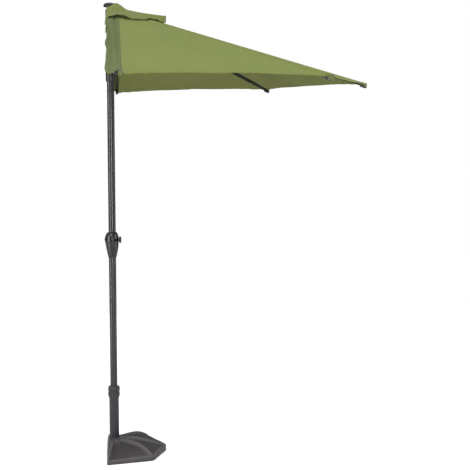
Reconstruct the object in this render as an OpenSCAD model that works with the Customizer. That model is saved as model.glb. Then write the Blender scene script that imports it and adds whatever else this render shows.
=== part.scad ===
// Half parasol that stands flat against a wall: a weighted half-octagon base,
// a clamped mast with a crank, and a five-rib half canopy with a vent.
// Millimetres. Z is up, the mast's axis is the origin, the wall is on the -X side.

/* [Canopy] */
// Distance of the rib tips from the fan's centre
canopy_radius = 1333; // [1100:1:1500]
// How far the ribs slope down when the canopy is open, in degrees
rib_slope = 15.9; // [12:0.1:22]
// Height of the rib pivots above the floor
hub_height = 2350; // [2250:1:2450]
// Distance in front of the mast's axis from which the ribs fan out
fan_offset = 38; // [36:1:44]
// Width of the strip of cloth that reaches back to the wall
flap_width = 58; // [40:1:66]
// Radius of the raised vent cloth
vent_radius = 250; // [220:1:300]

/* [Mast] */
// Outer diameter of both poles
pole_d = 38; // [38:0.5:40]
// Wall of the poles
pole_wall = 1.2; // [1:0.1:2]
// Distance from the runner's pins to the floor when the canopy is open
runner_height = 2050; // [2000:1:2080]
// Distance along a rib from its pivot to its stretcher
stretcher_reach = 530; // [500:1:540]
// Height of the crank's axis
crank_height = 1158; // [1100:1:1180]
// Radius of the crank housing where it is widest
housing_radius = 38.3; // [36:0.1:42]

/* [Base] */
// Width of the base at the wall
base_width = 426; // [380:1:460]
// Distance from the mast's axis to the base's front corner
base_front = 281; // [250:1:320]
// Distance from the mast's axis to the wall face
base_back = 40; // [40:1:46]
// Height of the base where the stand tube enters it
base_height = 86; // [80:1:100]
// Outer diameter of the stand tube
tube_d = 52; // [50:0.5:54]
// Height of the top of the clamp collar
collar_top = 367; // [360:1:400]

/* [Hidden] */

$fn = 48;
eps = 0.01;             // overlap that keeps cuts clean
run_gap = 0.06;         // radial clearance of a running fit
rib_count = 5;
rib_step = 180 / (rib_count - 1);

pole_r = pole_d / 2;
pole_bore = pole_r - pole_wall;
tube_r = tube_d / 2;
tube_bore = tube_r - 2.5;

// base levels
foot_h = 4;
plate_t = 3;
rim_z = 1.5;
anchor_z = foot_h + plate_t;
anchor_t = 4;
seat_z = 36;
tube_bottom = anchor_z + anchor_t;
tube_top = collar_top - 15;
wall_h = 26;                    // height of the rim at the two corner pairs
nose_rise = 8;                  // how much higher the rim is at the front corner
body_top = base_height - 23;    // top of the body between the ridges
back_draft = 10;                // how far the wall face leans in at that height
skin = 4;
boss_r = 38;
side_x = 204;           // where the base's slanting sides meet its front
side_y = base_width * 0.4;
plug_at = [124, 36];    // fill plug
plug_z = base_height - 16;
corner_in = 24;         // from a corner to the plate screw near it

// hub and runner
rib_pivot_r = 30;
runner_pivot_r = 33;
rib_w = 10;
rib_h = 16;
arm_w = 8;
arm_h = 12;
slot_gap = 0.4;
hub_r = 43;
runner_r = 41;
hub_top = hub_height + 18;
pin_r = 2.5;
pulley_r = 12;
pulley_x = 12.5;
pulley_z = hub_height + 26.5;
cap_r = 32;
cap_z = hub_height + 40;

// ribs and stretchers
rib_length = (canopy_radius - rib_pivot_r) / cos(rib_slope);
joint_r = rib_pivot_r + stretcher_reach * cos(rib_slope);
joint_z = hub_height - stretcher_reach * sin(rib_slope);
stretcher_length = norm([joint_r - runner_pivot_r, joint_z - runner_height]);
stretcher_rise = atan2(joint_z - runner_height, joint_r - runner_pivot_r);
fork_length = 190;
fork_in = rib_w / 2 + 0.8;
fork_t = 2;

// cloth
cloth_t = 1.2;
cloth_lift = rib_h / 2 + 2.6;  // cloth's underside above a rib's middle
cloth_top = hub_height + cloth_lift + cloth_t;
cloth_start = 50;
hem_curve = 0.034;             // how far a hem is cut in, as a share of the radius
cloth_sag = 6;
flap_drop = 14;
seam_gap = 0.5;
rows = 8;
columns = 5;

// crank
shaft_r = 4;
drum_r = 12;
flange_r = 20;
spool_w = 36;
arm_x = housing_radius + 0.5;
arm_t = 8;
arm_reach = 62;
knob_r = 4.7;
knob_x = arm_x + arm_t / 2 + 0.3;
lower_top = crank_height - 30;
upper_bottom = crank_height + 26;

// ---------- shared shapes ----------

module tube(r_out, r_in, z0, z1) {
    translate([0, 0, z0]) difference() {
        cylinder(r = r_out, h = z1 - z0);
        translate([0, 0, -1]) cylinder(r = r_in, h = z1 - z0 + 2);
    }
}

module cross_pin(r, length) {
    rotate([90, 0, 0]) cylinder(r = r, h = length, center = true);
}

// Turns a child drawn along +X into the direction of rib number k
module fan(k) {
    translate([fan_offset, 0, 0]) rotate([0, 0, (k - 1) * rib_step - 90]) children();
}

module rib_frame(k) {
    fan(k) translate([rib_pivot_r, 0, hub_height]) rotate([0, rib_slope, 0]) children();
}

module stretcher_frame(k) {
    fan(k) translate([runner_pivot_r, 0, runner_height]) rotate([0, -stretcher_rise, 0]) children();
}

// A closed sheet from a grid of points: the upper side, and the same points lowered
module sheet(top, thickness) {
    m = len(top);
    n = len(top[0]);
    upper = [for (row = top) for (p = row) p];
    lower = [for (p = upper) p - [0, 0, thickness]];
    under = m * n;
    faces = [
        for (i = [0 : m - 2]) for (j = [0 : n - 2])
            let (a = i * n + j, b = a + 1, c = a + n, d = c + 1)
            each [
                [a, c, b], [b, c, d],
                [under + a, under + b, under + c], [under + b, under + d, under + c]],
        for (i = [0 : m - 2])
            let (a = i * n, c = a + n, b = a + n - 1, d = b + n)
            each [
                [a, under + a, c], [c, under + a, under + c],
                [b, d, under + b], [d, under + d, under + b]],
        for (j = [0 : n - 2])
            let (a = j, b = j + 1, c = (m - 1) * n + j, d = c + 1)
            each [
                [a, b, under + a], [b, under + b, under + a],
                [c, under + c, d], [d, under + c, under + d]]
    ];
    polyhedron(concat(upper, lower), faces);
}

// ---------- base ----------

function outline(inset) = [
    [-base_back + inset, -base_width / 2 + inset],
    [side_x - inset * 0.6, -side_y + inset],
    [base_front - inset * 1.1, 0],
    [side_x - inset * 0.6, side_y - inset],
    [-base_back + inset, base_width / 2 - inset]];

module screw_places() {
    for (p = outline(corner_in)) translate(p) children();
}

module base_body(inset, low, top) {
    hull() {
        translate([0, 0, low]) linear_extrude(wall_h - 6 - inset - low) polygon(outline(inset));
        translate([30, 0, low]) intersection() {
            cylinder(r = 92 - inset, h = top - low, $fn = 32);
            translate([-30 - base_back + inset + back_draft, -100, -1]) cube([200, 200, 200]);
        }
    }
}

module base_ridge(corner) {
    fall = corner[0] == side_x ? 2 : 15;    // how far the ridge has come down by its middle
    hull() {
        cylinder(r = 34, h = base_height, $fn = 32);
        translate(corner * 0.56) cylinder(r = 12, h = base_height - fall, $fn = 32);
        translate(corner * 0.78) cylinder(r = 9, h = base_height - fall - 21, $fn = 32);
        translate(corner * 0.96)
            cylinder(r = 6, h = wall_h + 1 + (corner[1] == 0 ? nose_rise : 0), $fn = 32);
    }
}

module base_shell() {
    color([0.20, 0.20, 0.21]) difference() {
        union() {
            difference() {
                intersection() {
                    union() {
                        base_body(0, rim_z, body_top);
                        for (p = outline(0)) translate([0, 0, rim_z]) base_ridge(p);
                    }
                    translate([0, 0, rim_z]) linear_extrude(200) polygon(outline(0));
                }
                translate([0, 0, -0.1]) base_body(skin, rim_z, body_top - skin);
            }
            translate([0, 0, tube_bottom]) cylinder(r1 = boss_r, r2 = 30, h = base_height - 8 - tube_bottom);
            screw_places() tube(6, 2, anchor_z, wall_h - 1);
            translate([plug_at[0], plug_at[1], plug_z - 20]) cylinder(r = 16, h = 20);
        }
        cylinder(r = tube_r, h = 300);
        for (a = [45 : 90 : 315])
            rotate([0, 0, a]) translate([32, 0, 0]) cylinder(r = 2, h = 30);
        translate([plug_at[0], plug_at[1], 30]) cylinder(r = 11, h = 60);
        translate([plug_at[0], plug_at[1], plug_z]) cylinder(r = 14.5, h = 30);
    }
}

module base_plate() {
    color([0.12, 0.12, 0.13]) translate([0, 0, foot_h]) difference() {
        linear_extrude(plate_t) polygon(outline(skin + 0.6));
        screw_places() translate([0, 0, -1]) cylinder(r = 2.3, h = plate_t + 2);
    }
}

module ballast() {
    color([0.45, 0.44, 0.42]) difference() {
        base_body(skin + 1, anchor_z, body_top - skin - 2);
        translate([0, 0, -1]) cylinder(r = boss_r + 1, h = 200);
        screw_places() cylinder(r = 7, h = 60);
        translate([plug_at[0], plug_at[1], plug_z - 21]) cylinder(r = 17, h = 60);
    }
}

module plate_screws() {
    color("silver") screw_places() {
        translate([0, 0, foot_h - 1]) cylinder(r = 4, h = 1);
        translate([0, 0, foot_h - 0.5]) cylinder(r = 2, h = 15);
    }
}

module base_feet() {
    color("black") {
        cylinder(r = 20, h = foot_h);
        for (p = outline(corner_in + 22)) translate(p) cylinder(r = 13, h = foot_h);
    }
}

module fill_plug() {
    color([0.10, 0.10, 0.10]) translate([plug_at[0], plug_at[1], plug_z - 18]) difference() {
        union() {
            cylinder(r = 10.9, h = 18);
            translate([0, 0, 18]) cylinder(r = 14, h = 3);
        }
        translate([-2, -9, 19]) cube([4, 18, 3]);
    }
}

module tube_anchor() {
    color([0.3, 0.3, 0.3]) difference() {
        union() {
            translate([0, 0, anchor_z]) cylinder(r = boss_r - 2.6, h = anchor_t);
            translate([0, 0, anchor_z]) cylinder(r = tube_bore - 0.1, h = seat_z - anchor_z);
        }
        for (a = [45 : 90 : 315])
            rotate([0, 0, a]) translate([32, 0, 0]) cylinder(r = 2.2, h = 30);
    }
}

module anchor_screws() {
    color("silver") for (a = [45 : 90 : 315]) rotate([0, 0, a]) translate([32, 0, 0]) {
        translate([0, 0, anchor_z + 0.5]) cylinder(r = 2, h = 18);
    }
}

module stand_tube() {
    color([0.16, 0.16, 0.17]) {
        tube(tube_r, tube_bore, tube_bottom, tube_top);
        // weld-on ring that the collar stands on
        tube(tube_r + 2, tube_r - 1, collar_top - 64, collar_top - 60);
    }
}

// ---------- clamp ----------

module clamp_collar() {
    flutes = 14;
    body_r = 31.5;
    depth = 2.2;
    shape = [for (i = [0 : flutes * 4 - 1])
        let (r = body_r - (i % 4 < 2 ? 0 : depth), a = i * 90 / flutes) [r * cos(a), r * sin(a)]];
    color([0.09, 0.09, 0.10]) translate([0, 0, collar_top - 59.5]) difference() {
        union() {
            cylinder(r = body_r - depth - 0.5, h = 59.5);
            translate([0, 0, 2]) linear_extrude(24) polygon(shape);
            translate([0, 0, 31]) linear_extrude(24) polygon(shape);
        }
        translate([0, 0, -1]) cylinder(r = tube_r + run_gap, h = 53);
        translate([0, 0, 40]) cylinder(r = pole_r + 1, h = 30);
    }
}

module pole_bush() {
    color([0.2, 0.2, 0.2]) {
        tube(tube_bore - run_gap, pole_r + run_gap, tube_top - 34, tube_top);
        tube(tube_r - 0.8, pole_r + run_gap, tube_top, tube_top + 5);
    }
}

// ---------- poles ----------

module lower_pole() {
    color([0.17, 0.17, 0.18]) tube(pole_r, pole_bore, seat_z + 4, lower_top);
}

module pole_foot() {
    color("black") {
        translate([0, 0, seat_z]) cylinder(r = pole_r, h = 4);
        translate([0, 0, seat_z + 3]) cylinder(r = pole_bore, h = 16);
    }
}

module upper_pole() {
    color([0.17, 0.17, 0.18]) tube(pole_r, pole_bore, upper_bottom, hub_height + 8);
}

// ---------- crank ----------

// Outline of the teardrop housing, from its lower end up
function housing_profile() = [
    [pole_r, -95], [pole_r + 2.5, -94], [24, -82], [27.5, -66], [31, -49], [33.6, -33], [36, -17],
    [housing_radius, 0], [37.6, 12], [34, 26], [28, 37], [23, 41], [pole_r, 42]];

module housing_half(side) {
    difference() {
        translate([0, 0, crank_height])
            rotate_extrude() polygon(concat([[1, -95]], housing_profile(), [[1, 42]]));
        translate([-60, side > 0 ? -120 : 0, crank_height - 200]) cube([120, 120, 400]);
        translate([0, 0, crank_height - 100]) cylinder(r = pole_r, h = 70);
        translate([0, 0, upper_bottom]) cylinder(r = pole_r, h = 70);
        translate([0, 0, lower_top - 0.5]) cylinder(r = 28, h = upper_bottom - lower_top + 1);
        along_shaft(-33, 33, 8);
        along_shaft(-45, 45, shaft_r + 0.5);
        for (p = [[23.5, -53], [-23.5, -53], [29, 31.5], [-29, 31.5]])
            translate([p[0], 0, crank_height + p[1]]) cross_pin(1.5, 24);
    }
}

module housing_front() {
    color([0.10, 0.10, 0.11]) housing_half(-1);
}

module housing_rear() {
    color([0.10, 0.10, 0.11]) housing_half(1);
}

module housing_screws() {
    color("silver") for (p = [[23.5, -53], [-23.5, -53], [29, 31.5], [-29, 31.5]])
        translate([p[0], 0, crank_height + p[1]]) cross_pin(1.5, 20);
}

module along_shaft(x0, x1, r) {
    translate([x0, 0, crank_height]) rotate([0, 90, 0]) cylinder(r = r, h = x1 - x0);
}

module cord_spool() {
    color([0.85, 0.85, 0.8]) difference() {
        union() {
            along_shaft(-spool_w / 2, spool_w / 2, drum_r);
            along_shaft(-spool_w / 2, -spool_w / 2 + 3, flange_r);
            along_shaft(spool_w / 2 - 3, spool_w / 2, flange_r);
        }
        along_shaft(-30, 30, shaft_r);
    }
}

module crank_shaft() {
    color("silver") along_shaft(-32, arm_x + 5, shaft_r);
}

module shaft_bushes() {
    color([0.9, 0.9, 0.85]) for (x = [-33, 28]) difference() {
        along_shaft(x, x + 5, 8);
        along_shaft(x - 1, x + 6, shaft_r + run_gap);
    }
}

// One round wire wound as a helix about the shaft
function wire_ring(turn, wire_r, coil_r, pitch, sides) = [for (s = [0 : sides - 1])
    let (a = 360 * turn, b = 360 * s / sides, r = coil_r + wire_r * cos(b))
    [pitch * turn + wire_r * sin(b), r * cos(a), r * sin(a)]];

module brake_spring() {
    turns = 3;
    per_turn = 16;
    sides = 8;
    coil_r = shaft_r + 1.6;
    steps = turns * per_turn;
    points = [for (i = [0 : steps]) each wire_ring(i / per_turn, 0.9, coil_r, 2.4, sides)];
    faces = concat(
        [[for (s = [0 : sides - 1]) s]],
        [for (i = [0 : steps - 1]) for (s = [0 : sides - 1])
            let (a = i * sides + s, b = i * sides + (s + 1) % sides)
            each [[a, a + sides, b], [b, a + sides, b + sides]]],
        [[for (s = [sides - 1 : -1 : 0]) steps * sides + s]]);
    color("silver") translate([spool_w / 2 + 1.2, 0, crank_height]) polyhedron(points, faces);
}

module crank_arm() {
    color([0.08, 0.08, 0.09]) translate([arm_x, 0, crank_height]) difference() {
        union() {
            rotate([0, 90, 0]) cylinder(r = 16.5, h = arm_t);
            translate([0, -arm_reach, -10]) cube([arm_t, arm_reach, 20]);
            translate([0, -arm_reach, 0]) rotate([0, 90, 0]) cylinder(r = 10, h = arm_t);
        }
        translate([-1, -arm_reach - 20, -knob_r - 0.5]) cube([arm_t + 2, arm_reach, 2 * knob_r + 1]);
        rotate([0, 90, 0]) translate([0, 0, -1]) cylinder(r = shaft_r, h = 6);
        translate([arm_t / 2 + 0.3, -arm_reach, -20]) cylinder(r = 1.5, h = 40);
    }
}

module crank_knob() {
    color([0.08, 0.08, 0.09]) difference() {
        translate([knob_x, -arm_reach, crank_height]) union() {
            rotate([-90, 0, 0]) cylinder(r = knob_r, h = 41);
            sphere(r = knob_r);
        }
        translate([knob_x, -arm_reach, crank_height - 20]) cylinder(r = 1.5 + run_gap, h = 40);
    }
}

module knob_pin() {
    color("silver") translate([knob_x, -arm_reach, crank_height - 8]) cylinder(r = 1.5, h = 16);
}

// ---------- hub ----------

module fan_carrier(r, z0, z1) {
    intersection() {
        translate([fan_offset, 0, z0]) cylinder(r = r, h = z1 - z0);
        translate([pole_r - 4, -100, z0 - 1]) cube([200, 200, z1 - z0 + 2]);
    }
}

module top_hub() {
    color([0.10, 0.10, 0.11]) difference() {
        union() {
            translate([0, 0, hub_height - 50]) cylinder(r = pole_r + 4, h = hub_top - hub_height + 50);
            fan_carrier(hub_r, hub_height - 12, hub_top);
            // cheeks that hold the pulley
            for (y = [-7, 3.5])
                translate([pulley_x - 10, y, hub_top - 1]) cube([20, 3.5, cap_z - hub_top + 1]);
        }
        translate([0, 0, hub_height - 60]) cylinder(r = pole_r, h = 68);
        for (k = [1 : rib_count]) fan(k) {
            translate([20, -rib_w / 2 - slot_gap, hub_height - 30]) cube([40, rib_w + 2 * slot_gap, 41]);
            translate([rib_pivot_r, 0, hub_height]) cross_pin(pin_r, 30);
        }
        translate([pulley_x - pulley_r - 1, -3.5, hub_height + 10])
            cube([2 * pulley_r + 2, 7, 40]);
        translate([pulley_x, 0, pulley_z]) cross_pin(2, 30);
        // way down for the lift cord, in front of the pole
        translate([pole_r + 5, 0, hub_height - 20]) cylinder(r = 2, h = 60);
        for (side = [-1, 1]) translate([0, side * (pole_r + 2), hub_height - 35]) cross_pin(2, 12);
    }
}

module hub_pins() {
    color("silver") for (k = [1 : rib_count])
        fan(k) translate([rib_pivot_r, 0, hub_height]) cross_pin(pin_r, 22);
}

module hub_screws() {
    color("silver") for (side = [-1, 1])
        translate([0, side * (pole_r + 2.5), hub_height - 35]) cross_pin(2, 5);
}

module pulley() {
    color([0.85, 0.85, 0.8]) translate([pulley_x, 0, pulley_z]) rotate([90, 0, 0]) rotate_extrude()
        polygon([[2 + run_gap, -3], [pulley_r, -3], [pulley_r, -2.4], [pulley_r - 3, 0],
            [pulley_r, 2.4], [pulley_r, 3], [2 + run_gap, 3]]);
}

module pulley_pin() {
    color("silver") translate([pulley_x, 0, pulley_z]) cross_pin(2, 14);
}

module finial_cap() {
    color("black") translate([0, 0, cap_z]) rotate_extrude()
        polygon([
            [0, 0], [cap_r - 3, 0], [cap_r - 3, -7], [cap_r, -7],
            [cap_r, 4], [cap_r - 4, 9], [cap_r - 14, 13], [0, 15]]);
}

// ---------- runner ----------

module runner() {
    color([0.10, 0.10, 0.11]) difference() {
        union() {
            translate([0, 0, runner_height - 55]) cylinder(r = pole_r + 5.5, h = 90);
            fan_carrier(runner_r, runner_height - 14, runner_height + 14);
        }
        translate([0, 0, runner_height - 60]) cylinder(r = pole_r + run_gap, h = 110);
        for (k = [1 : rib_count]) fan(k) {
            translate([25, -arm_w / 2 - slot_gap, runner_height - 7])
                cube([40, arm_w + 2 * slot_gap, 40]);
            translate([runner_pivot_r, 0, runner_height]) cross_pin(pin_r, 30);
        }
    }
}

module runner_pins() {
    color("silver") for (k = [1 : rib_count])
        fan(k) translate([runner_pivot_r, 0, runner_height]) cross_pin(pin_r, 20);
}

// ---------- ribs and stretchers ----------

module rib(k) {
    wall = 1;
    color([0.12, 0.12, 0.12]) rib_frame(k) difference() {
        union() {
            rotate([90, 0, 0]) cylinder(r = rib_h / 2, h = rib_w, center = true);
            translate([0, -rib_w / 2, -rib_h / 2]) cube([rib_length - 8, rib_w, rib_h]);
        }
        // the channel is open below, between solid ends
        translate([24, -rib_w / 2 + wall, -rib_h])
            cube([stretcher_reach - 40, rib_w - 2 * wall, 1.5 * rib_h - wall]);
        translate([stretcher_reach + 16, -rib_w / 2 + wall, -rib_h])
            cube([rib_length - stretcher_reach, rib_w - 2 * wall, 1.5 * rib_h - wall]);
        cross_pin(pin_r + run_gap, rib_w + 2);
        translate([stretcher_reach, 0, 0]) cross_pin(pin_r, rib_w + 2);
    }
}

module rib_tip(k) {
    wide = rib_w + 6;
    low = rib_h / 2 + 6;
    color("black") rib_frame(k) difference() {
        union() {
            translate([rib_length - 26, -wide / 2, -low]) cube([31, wide, low + rib_h / 2 + 0.6]);
            translate([rib_length + 1, -wide / 2, -low]) cube([4, wide, low + rib_h / 2 + 5]);
        }
        translate([rib_length - 27, -rib_w / 2, -rib_h / 2]) cube([19, rib_w, rib_h]);
    }
}

module rib_rivet(k) {
    color("silver") rib_frame(k) translate([stretcher_reach, 0, 0]) cross_pin(pin_r, rib_w);
}

module stretcher(k) {
    tube_end = stretcher_length - fork_length;
    color([0.12, 0.12, 0.12]) stretcher_frame(k) difference() {
        union() {
            cross_pin(arm_h / 2, arm_w);
            translate([0, -arm_w / 2, -arm_h / 2]) cube([tube_end + 16, arm_w, arm_h]);
            for (side = [-1, 1]) {
                y = side > 0 ? fork_in : -fork_in - fork_t;
                translate([tube_end, y, -arm_h / 2]) cube([fork_length, fork_t, arm_h]);
                translate([stretcher_length, y + fork_t / 2, 0]) cross_pin(arm_h / 2, fork_t);
                translate([stretcher_length, side * (fork_in + fork_t + 0.5), 0]) cross_pin(3.5, 2);
            }
            // spacer that joins the fork to the tube
            translate([tube_end, -fork_in - eps, -arm_h / 2]) cube([14, 2 * fork_in + 2 * eps, arm_h]);
        }
        translate([22, -arm_w / 2 + 1, -arm_h / 2 + 1])
            cube([tube_end - 24, arm_w - 2, arm_h - 2]);
        cross_pin(pin_r + run_gap, arm_w + 2);
    }
}

// ---------- cloth ----------

// A point above rib k, at distance r from the fan's centre
function over_rib(k, r) =
    let (a = (k - 1) * rib_step - 90)
    [fan_offset + r * cos(a), r * sin(a), cloth_top - (r - rib_pivot_r) * tan(rib_slope)];

// A point of the gore between ribs k and k + 1, with u from 0 to 1 across it
function on_gore(k, r, u) =
    let (arch = 4 * u * (1 - u), share = r / canopy_radius, s = r * (1 - hem_curve * arch * share * share))
    over_rib(k, s) * (1 - u) + over_rib(k + 1, s) * u - [0, 0, cloth_sag * arch * share];

// A point of the strip towards the wall, beside rib k, with w from 0 to 1 across it
function on_flap(k, r, w) =
    let (share = r / canopy_radius)
    over_rib(k, r) - [flap_width * w, 0, w * w * (flap_drop * pow(share, 3) + 3)];

// Panel k reaches from its rib half way to each neighbour; w goes from -1 to 1
function on_panel(k, r, w) =
    let (half_gap = seam_gap / (2 * r * sin(rib_step / 2)), u = min(abs(w) / 2, 0.5 - half_gap))
    w < 0
        ? (k == 1 ? on_flap(k, r, -w) : on_gore(k - 1, r, 1 - u))
        : (k == rib_count ? on_flap(k, r, w) : on_gore(k, r, u));

module canopy_panel(k) {
    color([0.50, 0.58, 0.32]) sheet([for (i = [0 : rows]) [for (j = [-columns : columns])
        on_panel(k, cloth_start + (canopy_radius - cloth_start) * i / rows, j / columns)]], cloth_t);
}

// Height of the vent's hem above the canopy, raised over ribs 1, 3 and 5
function vent_rise(a) = 14 + 26 * pow(abs(cos(2 * a)), 6);

// Outer edge of the vent: from one wall-side corner round the front to the other, v from -1 to 1
function vent_edge(v) =
    let (w = max(abs(v) - 0.85, 0) / 0.15, a = min(max(v / 0.85, -1), 1) * 90)
    [fan_offset - flap_width * w + vent_radius * cos(a), vent_radius * sin(a)];

// A point of the vent, with t from 0 at the cap to 1 at the hem
function on_vent(t, v) =
    let (a = v * 120,
        inner = (cap_r + 2) * [cos(a), sin(a)],
        p = inner + (vent_edge(v) - inner) * t,
        hem = vent_rise(min(abs(v) / 0.85, 1) * 90),
        top = cap_z + 8 - hub_height - cloth_lift,
        rise = hem + (top - hem) * pow(1 - t, 2.5),
        r = norm(p - [fan_offset, 0]))
    [p[0], p[1], cloth_top - max(r - rib_pivot_r, 0) * tan(rib_slope) + rise];

module vent_canopy() {
    color([0.54, 0.62, 0.36])
        sheet([for (i = [0 : 6]) [for (j = [-14 : 14]) on_vent(i / 6, j / 14)]], cloth_t);
}

// Stiff end of the vent over the front rib
module vent_clip() {
    low = cloth_top - (vent_radius - rib_pivot_r) * tan(rib_slope) + 4;
    color("black") translate([fan_offset + vent_radius + 0.4, -6, low]) cube([4.6, 12, 38]);
}

base_shell();
base_plate();
ballast();
plate_screws();
base_feet();
fill_plug();
tube_anchor();
anchor_screws();
stand_tube();
clamp_collar();
pole_bush();
lower_pole();
pole_foot();
upper_pole();
housing_front();
housing_rear();
housing_screws();
cord_spool();
crank_shaft();
shaft_bushes();
brake_spring();
crank_arm();
crank_knob();
knob_pin();
top_hub();
hub_pins();
hub_screws();
pulley();
pulley_pin();
finial_cap();
vent_canopy();
vent_clip();
runner();
runner_pins();
rib(1);  // rib_1
rib(2);  // rib_2
rib(3);  // rib_3
rib(4);  // rib_4
rib(5);  // rib_5
rib_tip(1);  // rib_tip_1
rib_tip(2);  // rib_tip_2
rib_tip(3);  // rib_tip_3
rib_tip(4);  // rib_tip_4
rib_tip(5);  // rib_tip_5
rib_rivet(1);  // rib_rivet_1
rib_rivet(2);  // rib_rivet_2
rib_rivet(3);  // rib_rivet_3
rib_rivet(4);  // rib_rivet_4
rib_rivet(5);  // rib_rivet_5
stretcher(1);  // stretcher_1
stretcher(2);  // stretcher_2
stretcher(3);  // stretcher_3
stretcher(4);  // stretcher_4
stretcher(5);  // stretcher_5
canopy_panel(1);  // canopy_panel_1
canopy_panel(2);  // canopy_panel_2
canopy_panel(3);  // canopy_panel_3
canopy_panel(4);  // canopy_panel_4
canopy_panel(5);  // canopy_panel_5
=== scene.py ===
"""Looks for the half parasol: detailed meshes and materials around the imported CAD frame."""
import math

import bmesh
import bpy
import numpy as np
from mathutils import Matrix, Vector


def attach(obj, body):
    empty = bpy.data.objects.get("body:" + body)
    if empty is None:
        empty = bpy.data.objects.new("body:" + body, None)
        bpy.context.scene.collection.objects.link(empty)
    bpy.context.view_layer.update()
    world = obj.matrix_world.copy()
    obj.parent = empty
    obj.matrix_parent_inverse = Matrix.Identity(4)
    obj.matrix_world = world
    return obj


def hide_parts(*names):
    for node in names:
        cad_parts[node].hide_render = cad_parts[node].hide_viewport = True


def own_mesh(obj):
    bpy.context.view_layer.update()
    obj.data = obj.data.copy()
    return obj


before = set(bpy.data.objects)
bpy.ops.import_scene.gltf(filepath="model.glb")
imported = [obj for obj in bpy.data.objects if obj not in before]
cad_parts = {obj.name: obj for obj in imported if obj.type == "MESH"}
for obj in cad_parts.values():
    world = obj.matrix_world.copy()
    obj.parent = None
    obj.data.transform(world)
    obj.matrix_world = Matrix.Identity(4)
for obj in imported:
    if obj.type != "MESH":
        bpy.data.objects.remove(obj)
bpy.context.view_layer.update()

# ---------- sizes, in metres, as the CAD has them ----------
POLE_R = 0.019
CRANK_Z = 1.158
HUB_Z = 2.350
FAN_X = 0.038
RIB_COUNT = 5
RIB_STEP = math.radians(45)
SLANT = (1 - math.cos(RIB_STEP)) / math.sin(RIB_STEP)
RIB_SLOPE = math.radians(15.9)
PIVOT_R = 0.030
CANOPY_R = 1.333
CLOTH_START = 0.050
CLOTH_TOP = 0.0118          # cloth's upper side above a rib's middle
CLOTH_T = 0.0010
HEM_CURVE = 0.034
CLOTH_SAG = 0.010
FLAP_WIDTH = 0.057
FLAP_DROP = 0.011
TIP_DROOP = 0.006           # how far the hem hangs beside a rib tip
END_DROOP = 0.016           # the same beside the two ribs at the wall
BAND_HALF = 0.009           # half the width of the band sewn over a rib
VENT_R = 0.250
CAP_R = 0.032
CAP_Z = 2.390
BASE_CORNERS = [(-0.040, -0.213), (0.204, -0.1704), (0.281, 0.0), (0.204, 0.1704), (-0.040, 0.213)]
WALL_CORNER = abs(math.atan2(BASE_CORNERS[0][1], BASE_CORNERS[0][0]))
SIDE_CORNER = abs(math.atan2(BASE_CORNERS[1][1], BASE_CORNERS[1][0]))
PLUG_AT = (0.124, 0.036)
PLUG_SEAT_R = 0.0215
PLUG_SEAT_Z = 0.0702
TUBE_R = 0.026


# ---------- meshes ----------

def smooth(x):
    x = np.clip(x, 0.0, 1.0)
    return x * x * (3 - 2 * x)


def rib_angle(k):
    return (k - 1) * RIB_STEP - math.pi / 2


def beside_rib(k):
    """Unit vector across rib k, level, the way its number counts up."""
    a = rib_angle(k)
    return np.array([-math.sin(a), math.cos(a), 0.0])


def soft_curve(stops, x):
    """A smooth line through (place, height) stops, read at x."""
    place = np.array([s[0] for s in stops], float)
    height = np.array([s[1] for s in stops], float)
    slope = np.gradient(height, place)
    step = np.diff(height) / np.diff(place)
    slope[0], slope[-1] = step[0], step[-1]
    for i in range(1, len(place) - 1):
        if step[i - 1] * step[i] <= 0:
            slope[i] = 0.0
    x = np.clip(x, place[0], place[-1])
    i = np.clip(np.searchsorted(place, x, side="right") - 1, 0, len(place) - 2)
    width = place[i + 1] - place[i]
    t = (x - place[i]) / width
    return (
        height[i] * (2 * t**3 - 3 * t**2 + 1)
        + slope[i] * width * (t**3 - 2 * t**2 + t)
        + height[i + 1] * (3 * t**2 - 2 * t**3)
        + slope[i + 1] * width * (t**3 - t**2)
    )


def make_object(name, points, faces, sharp=40, values=None, uv=None, slots=None):
    """A smooth-shaded mesh object with per-point values, per-point UV and per-face material slots."""
    mesh = bpy.data.meshes.new(name)
    mesh.from_pydata([tuple(p) for p in points], [], [tuple(f) for f in faces])
    mesh.update()
    for key, numbers in (values or {}).items():
        layer = mesh.attributes.new(key, "FLOAT", "POINT")
        layer.data.foreach_set("value", np.asarray(numbers, np.float32).ravel())
    if uv is not None:
        layer = mesh.uv_layers.new(name="cloth")
        corner = np.zeros(len(mesh.loops), np.int32)
        mesh.loops.foreach_get("vertex_index", corner)
        layer.data.foreach_set("uv", np.asarray(uv, np.float32)[corner].ravel())
    if slots is not None:
        mesh.polygons.foreach_set("material_index", np.asarray(slots, np.int32))
    mesh.shade_smooth()
    mesh.set_sharp_from_angle(angle=math.radians(sharp))
    obj = bpy.data.objects.new(name, mesh)
    bpy.context.scene.collection.objects.link(obj)
    return obj


def grid_faces(rows, columns, wrap_rows=False, wrap_columns=False):
    faces = []
    for i in range(rows if wrap_rows else rows - 1):
        for j in range(columns if wrap_columns else columns - 1):
            a = i * columns + j
            b = i * columns + (j + 1) % columns
            c = ((i + 1) % rows) * columns + (j + 1) % columns
            d = ((i + 1) % rows) * columns + j
            faces.append((a, b, c, d))
    return faces


def ring_solid(name, grid, sharp=40, values=None):
    """A closed ring from a grid of points: rows go round the section, columns round the axis."""
    rows, columns = grid.shape[:2]
    faces = grid_faces(rows, columns, wrap_rows=True, wrap_columns=True)
    return make_object(name, grid.reshape(-1, 3), faces, sharp, values)


def lathe_grid(section, segments=128):
    """Points of a section [(radius, height), ...] turned about the mast's axis."""
    section = np.array(section, float)
    angle = np.linspace(0, 2 * math.pi, segments, endpoint=False)
    grid = np.zeros((len(section), segments, 3))
    grid[:, :, 0] = section[:, :1] * np.cos(angle)
    grid[:, :, 1] = section[:, :1] * np.sin(angle)
    grid[:, :, 2] = section[:, 1:]
    return grid


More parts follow.
